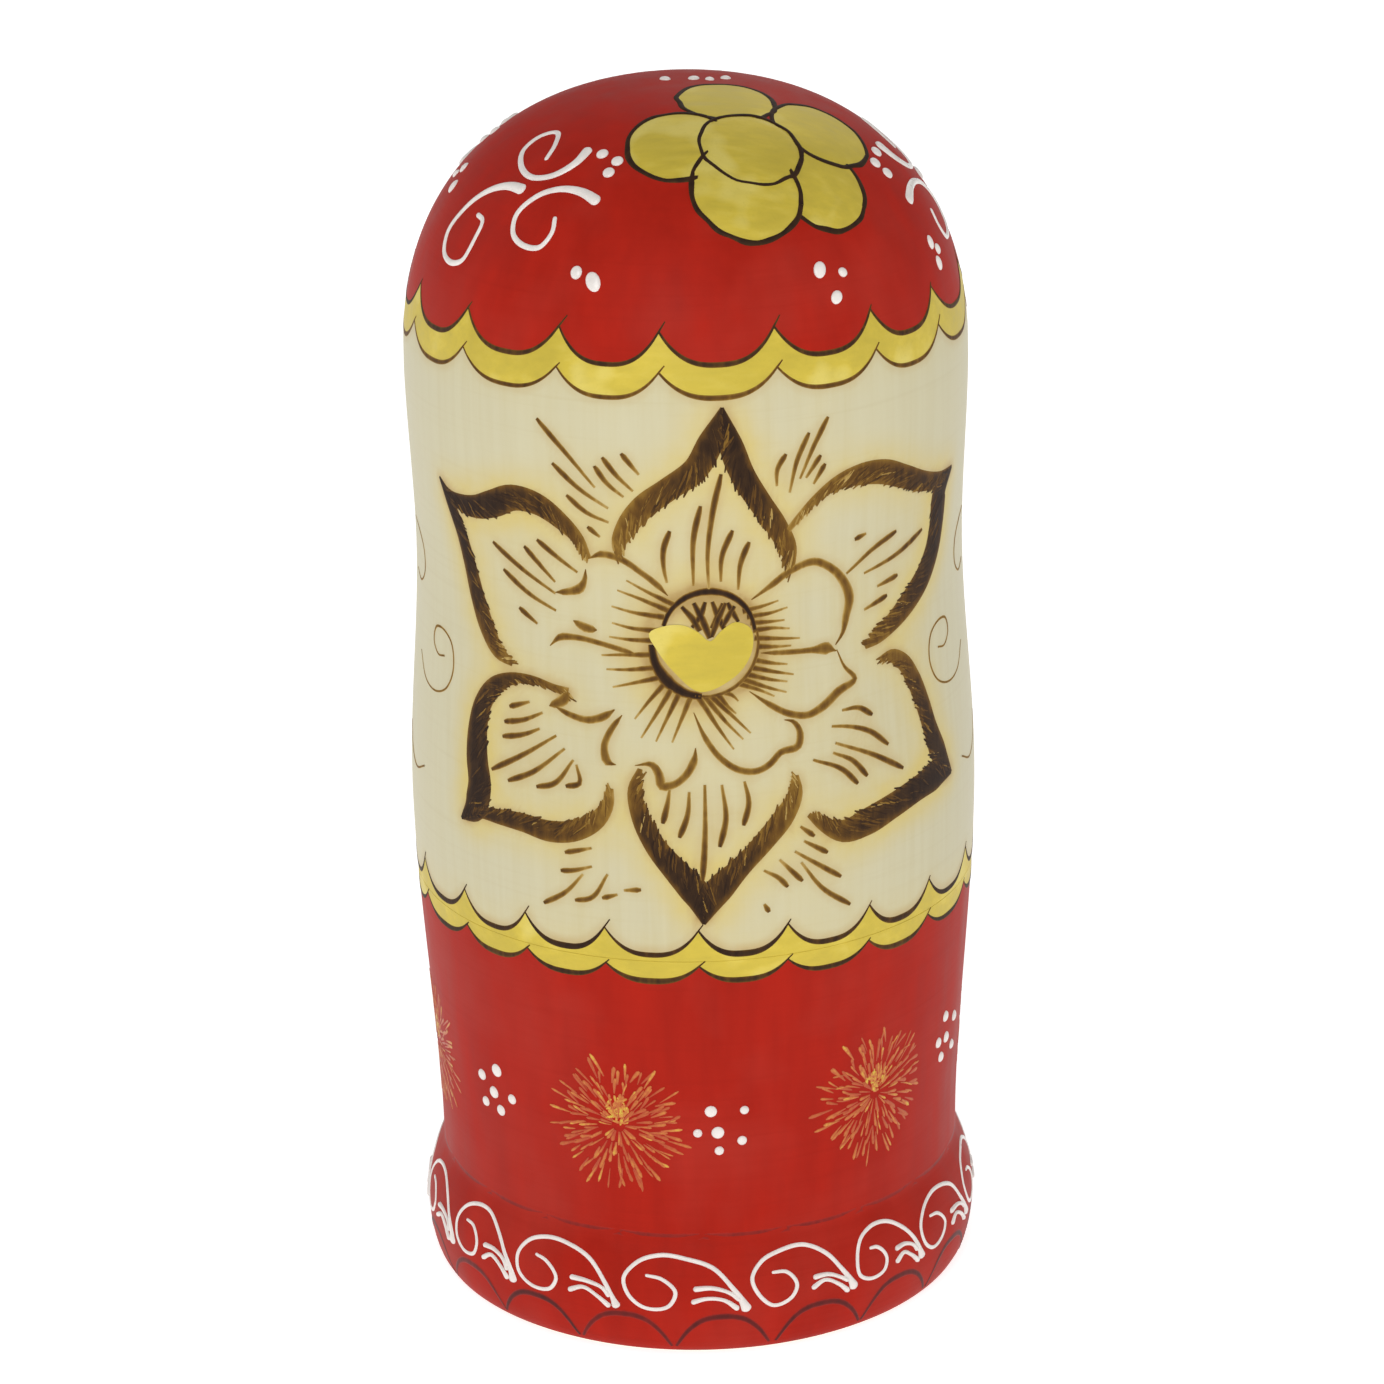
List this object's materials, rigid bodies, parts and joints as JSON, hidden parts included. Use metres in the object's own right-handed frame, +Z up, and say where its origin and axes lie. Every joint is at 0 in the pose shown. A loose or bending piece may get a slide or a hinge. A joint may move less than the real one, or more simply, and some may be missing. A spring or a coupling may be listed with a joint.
{
  "type": "matryoshka nesting doll",
  "caption": "Tall turned wooden nesting doll with a flared foot and a domed head. Each hollow doll opens at a spigot joint and holds a smaller one.",
  "frame": {"origin": "centre of the flat base of the outer doll", "axes": "+Z up along the turning axis; -Y is the back of the doll, which the picture shows; +Y is the side with the face"},
  "size_m": [0.0926, 0.0926, 0.2],
  "materials": {
    "red_lacquer": "semi-gloss lacquer",
    "cream_wood": "clear satin lacquer",
    "gold_paint": "brushed metallic paint",
    "white_paint": "raised gloss paint",
    "burnt_line": "burnt, satin lacquer"
  },
  "bodies": {
    "outer_doll_top": {"outer_doll_top": "cream_wood"},
    "outer_doll_bottom": {"outer_doll_bottom": "red_lacquer"},
    "second_doll_top": {"second_doll_top": "cream_wood"},
    "second_doll_bottom": {"second_doll_bottom": "red_lacquer"},
    "third_doll_top": {"third_doll_top": "cream_wood"},
    "third_doll_bottom": {"third_doll_bottom": "red_lacquer"},
    "fourth_doll_top": {"fourth_doll_top": "cream_wood"},
    "fourth_doll_bottom": {"fourth_doll_bottom": "red_lacquer"},
    "fifth_doll_top": {"fifth_doll_top": "cream_wood"},
    "fifth_doll_bottom": {"fifth_doll_bottom": "red_lacquer"},
    "sixth_doll_top": {"sixth_doll_top": "cream_wood"},
    "sixth_doll_bottom": {"sixth_doll_bottom": "red_lacquer"},
    "seventh_doll": {"seventh_doll": "red_lacquer"}
  },
  "joints": [
    {"name": "second_doll_bottom_lift", "type": "slide", "parent": "outer_doll_bottom", "child": "second_doll_bottom", "axis": [0, 0, 1], "range_m": [0, 0.078]},
    {"name": "third_doll_bottom_lift", "type": "slide", "parent": "second_doll_bottom", "child": "third_doll_bottom", "axis": [0, 0, 1], "range_m": [0, 0.065]},
    {"name": "fourth_doll_bottom_lift", "type": "slide", "parent": "third_doll_bottom", "child": "fourth_doll_bottom", "axis": [0, 0, 1], "range_m": [0, 0.055]},
    {"name": "fifth_doll_bottom_lift", "type": "slide", "parent": "fourth_doll_bottom", "child": "fifth_doll_bottom", "axis": [0, 0, 1], "range_m": [0, 0.046]},
    {"name": "sixth_doll_bottom_lift", "type": "slide", "parent": "fifth_doll_bottom", "child": "sixth_doll_bottom", "axis": [0, 0, 1], "range_m": [0, 0.039]},
    {"name": "seventh_doll_lift", "type": "slide", "parent": "sixth_doll_bottom", "child": "seventh_doll", "axis": [0, 0, 1], "range_m": [0, 0.033]},
    {"name": "sixth_doll_top_lift", "type": "slide", "parent": "seventh_doll", "child": "sixth_doll_top", "axis": [0, 0, 1], "range_m": [0, 0.044]},
    {"name": "fifth_doll_top_lift", "type": "slide", "parent": "sixth_doll_top", "child": "fifth_doll_top", "axis": [0, 0, 1], "range_m": [0, 0.053]},
    {"name": "fourth_doll_top_lift", "type": "slide", "parent": "fifth_doll_top", "child": "fourth_doll_top", "axis": [0, 0, 1], "range_m": [0, 0.065]},
    {"name": "third_doll_top_lift", "type": "slide", "parent": "fourth_doll_top", "child": "third_doll_top", "axis": [0, 0, 1], "range_m": [0, 0.078]},
    {"name": "second_doll_top_lift", "type": "slide", "parent": "third_doll_top", "child": "second_doll_top", "axis": [0, 0, 1], "range_m": [0, 0.095]},
    {"name": "outer_doll_top_lift", "type": "slide", "parent": "second_doll_top", "child": "outer_doll_top", "axis": [0, 0, 1], "range_m": [0, 0.115]}
  ]
}
